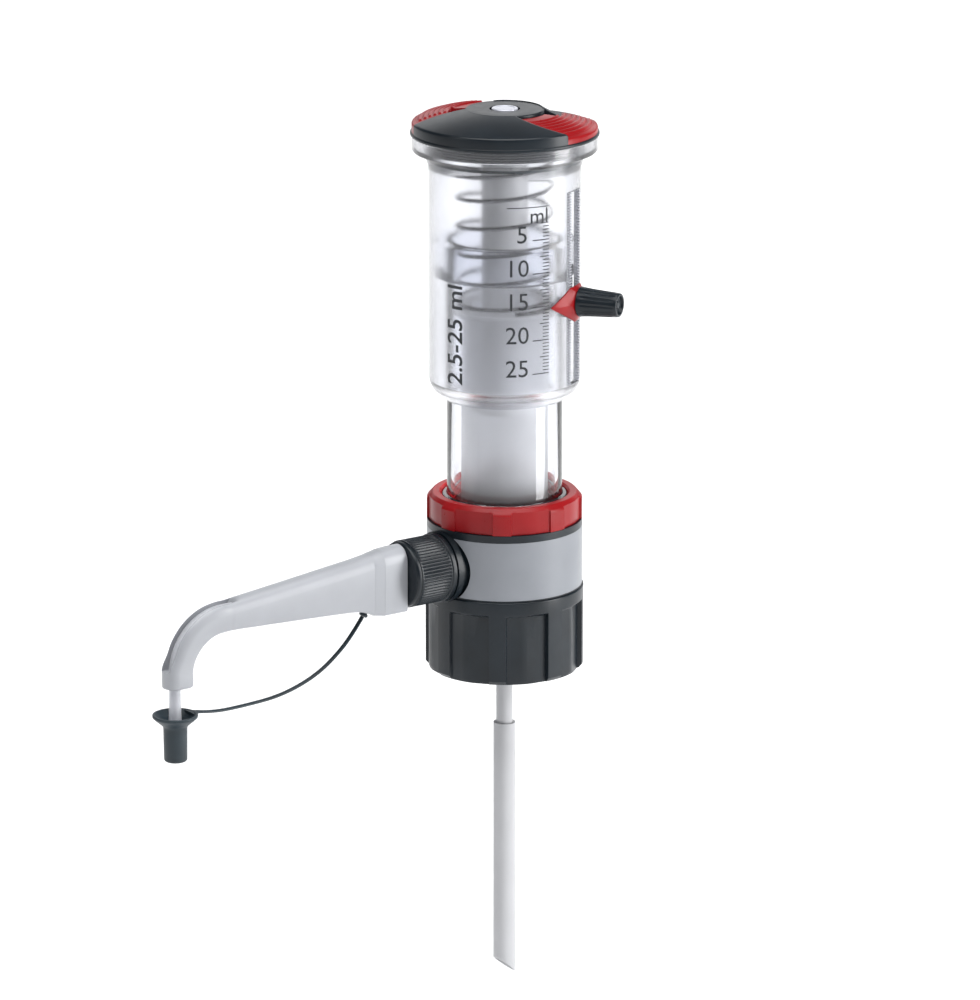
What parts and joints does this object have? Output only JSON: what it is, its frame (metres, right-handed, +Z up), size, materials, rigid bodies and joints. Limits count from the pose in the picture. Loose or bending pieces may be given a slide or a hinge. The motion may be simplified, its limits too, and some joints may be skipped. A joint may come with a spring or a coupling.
{
  "type": "bottle-top dispenser",
  "caption": "Spring-return bottle-top dispenser: screw collar, valve block, clear sleeve with a printed scale, side discharge tube with a tethered cap.",
  "frame": {"origin": "on the bottle axis, in the plane of the screw collar's lower face", "axes": "+Z up along the bottle axis, the discharge tube points along -X"},
  "size_m": [0.1835, 0.0734, 0.3228],
  "materials": {
    "black_plastic": "moulded polypropylene, satin",
    "grey_plastic": "moulded polypropylene, satin",
    "red_plastic": "moulded polypropylene, half gloss",
    "clear_plastic": "clear moulded plastic, polished",
    "frosted_plastic": "translucent polypropylene, milky",
    "white_plastic": "milky fluoropolymer, smooth",
    "dark_rubber": "moulded elastomer, matt",
    "spring_steel": "drawn stainless wire",
    "silver_plastic": "silver-grey, satin",
    "ceramic": "polished ceramic"
  },
  "bodies": {
    "dispenser": {"valve_block": "black_plastic", "valve_block_cover": "grey_plastic", "collar_retaining_ring": "black_plastic", "bottle_gasket": "white_plastic", "inlet_valve_seat": "white_plastic", "outlet_valve_seat": "white_plastic", "outlet_valve_spring": "spring_steel", "cylinder_nut": "red_plastic", "guide_tube": "clear_plastic", "guide_bush": "frosted_plastic", "dispensing_cylinder": "frosted_plastic", "cylinder_seal": "dark_rubber", "outlet_union_nut": "black_plastic", "discharge_tube": "white_plastic", "outlet_nozzle": "white_plastic", "strap_anchor": "dark_rubber", "filling_tube_upper": "white_plastic"},
    "bottle_collar": {"bottle_collar": "black_plastic"},
    "plunger": {"scale_sleeve": "clear_plastic", "stop_racks": "clear_plastic", "head_base": "black_plastic", "head_saddle": "black_plastic", "head_grip": "red_plastic", "head_screw": "spring_steel", "head_button": "silver_plastic", "piston_rod": "frosted_plastic", "piston": "frosted_plastic", "piston_seal": "white_plastic", "lifting_spring": "spring_steel"},
    "volume_stop": {"stop_pointer": "red_plastic", "stop_nose": "clear_plastic", "stop_stud": "spring_steel"},
    "stop_knob": {"stop_knob": "black_plastic"},
    "closure_cap": {"closure_cap": "dark_rubber", "cap_strap": "dark_rubber"},
    "inlet_valve_ball": {"inlet_valve_ball": "ceramic"},
    "outlet_valve_ball": {"outlet_valve_ball": "ceramic"},
    "filling_tube_lower": {"filling_tube_lower": "white_plastic"}
  },
  "joints": [
    {"name": "collar_turn", "type": "hinge", "parent": "dispenser", "child": "bottle_collar", "pos_m": [0, 0, 0.0291], "axis": [0, 0, 1], "continuous": true},
    {"name": "head_stroke", "type": "slide", "parent": "dispenser", "child": "plunger", "axis": [0, 0, 1], "range_m": [-0.0357, 0], "stiffness_N_per_m": 250, "springref_m": 0.03, "deforming": ["lifting_spring"]},
    {"name": "stop_slide", "type": "slide", "parent": "plunger", "child": "volume_stop", "axis": [0, 0, 1], "range_m": [-0.0238, 0]},
    {"name": "knob_turn", "type": "hinge", "parent": "volume_stop", "child": "stop_knob", "pos_m": [0.01545, -0.02571, 0.137], "axis": [0.515, -0.8572, 0], "range_deg": [0, 180]},
    {"name": "cap_pull", "type": "slide", "parent": "dispenser", "child": "closure_cap", "axis": [0, 0, -1], "range_m": [0, 0.016], "deforming": ["cap_strap"]},
    {"name": "inlet_ball_lift", "type": "slide", "parent": "dispenser", "child": "inlet_valve_ball", "axis": [0, 0, 1], "range_m": [0, 0.0012]},
    {"name": "outlet_ball_lift", "type": "slide", "parent": "dispenser", "child": "outlet_valve_ball", "axis": [-1, 0, 0], "range_m": [0, 0.001], "stiffness_N_per_m": 20, "springref_m": -0.001, "deforming": ["outlet_valve_spring"]},
    {"name": "filling_tube_slide", "type": "slide", "parent": "dispenser", "child": "filling_tube_lower", "axis": [0, 0, -1], "range_m": [0, 0.066]}
  ]
}
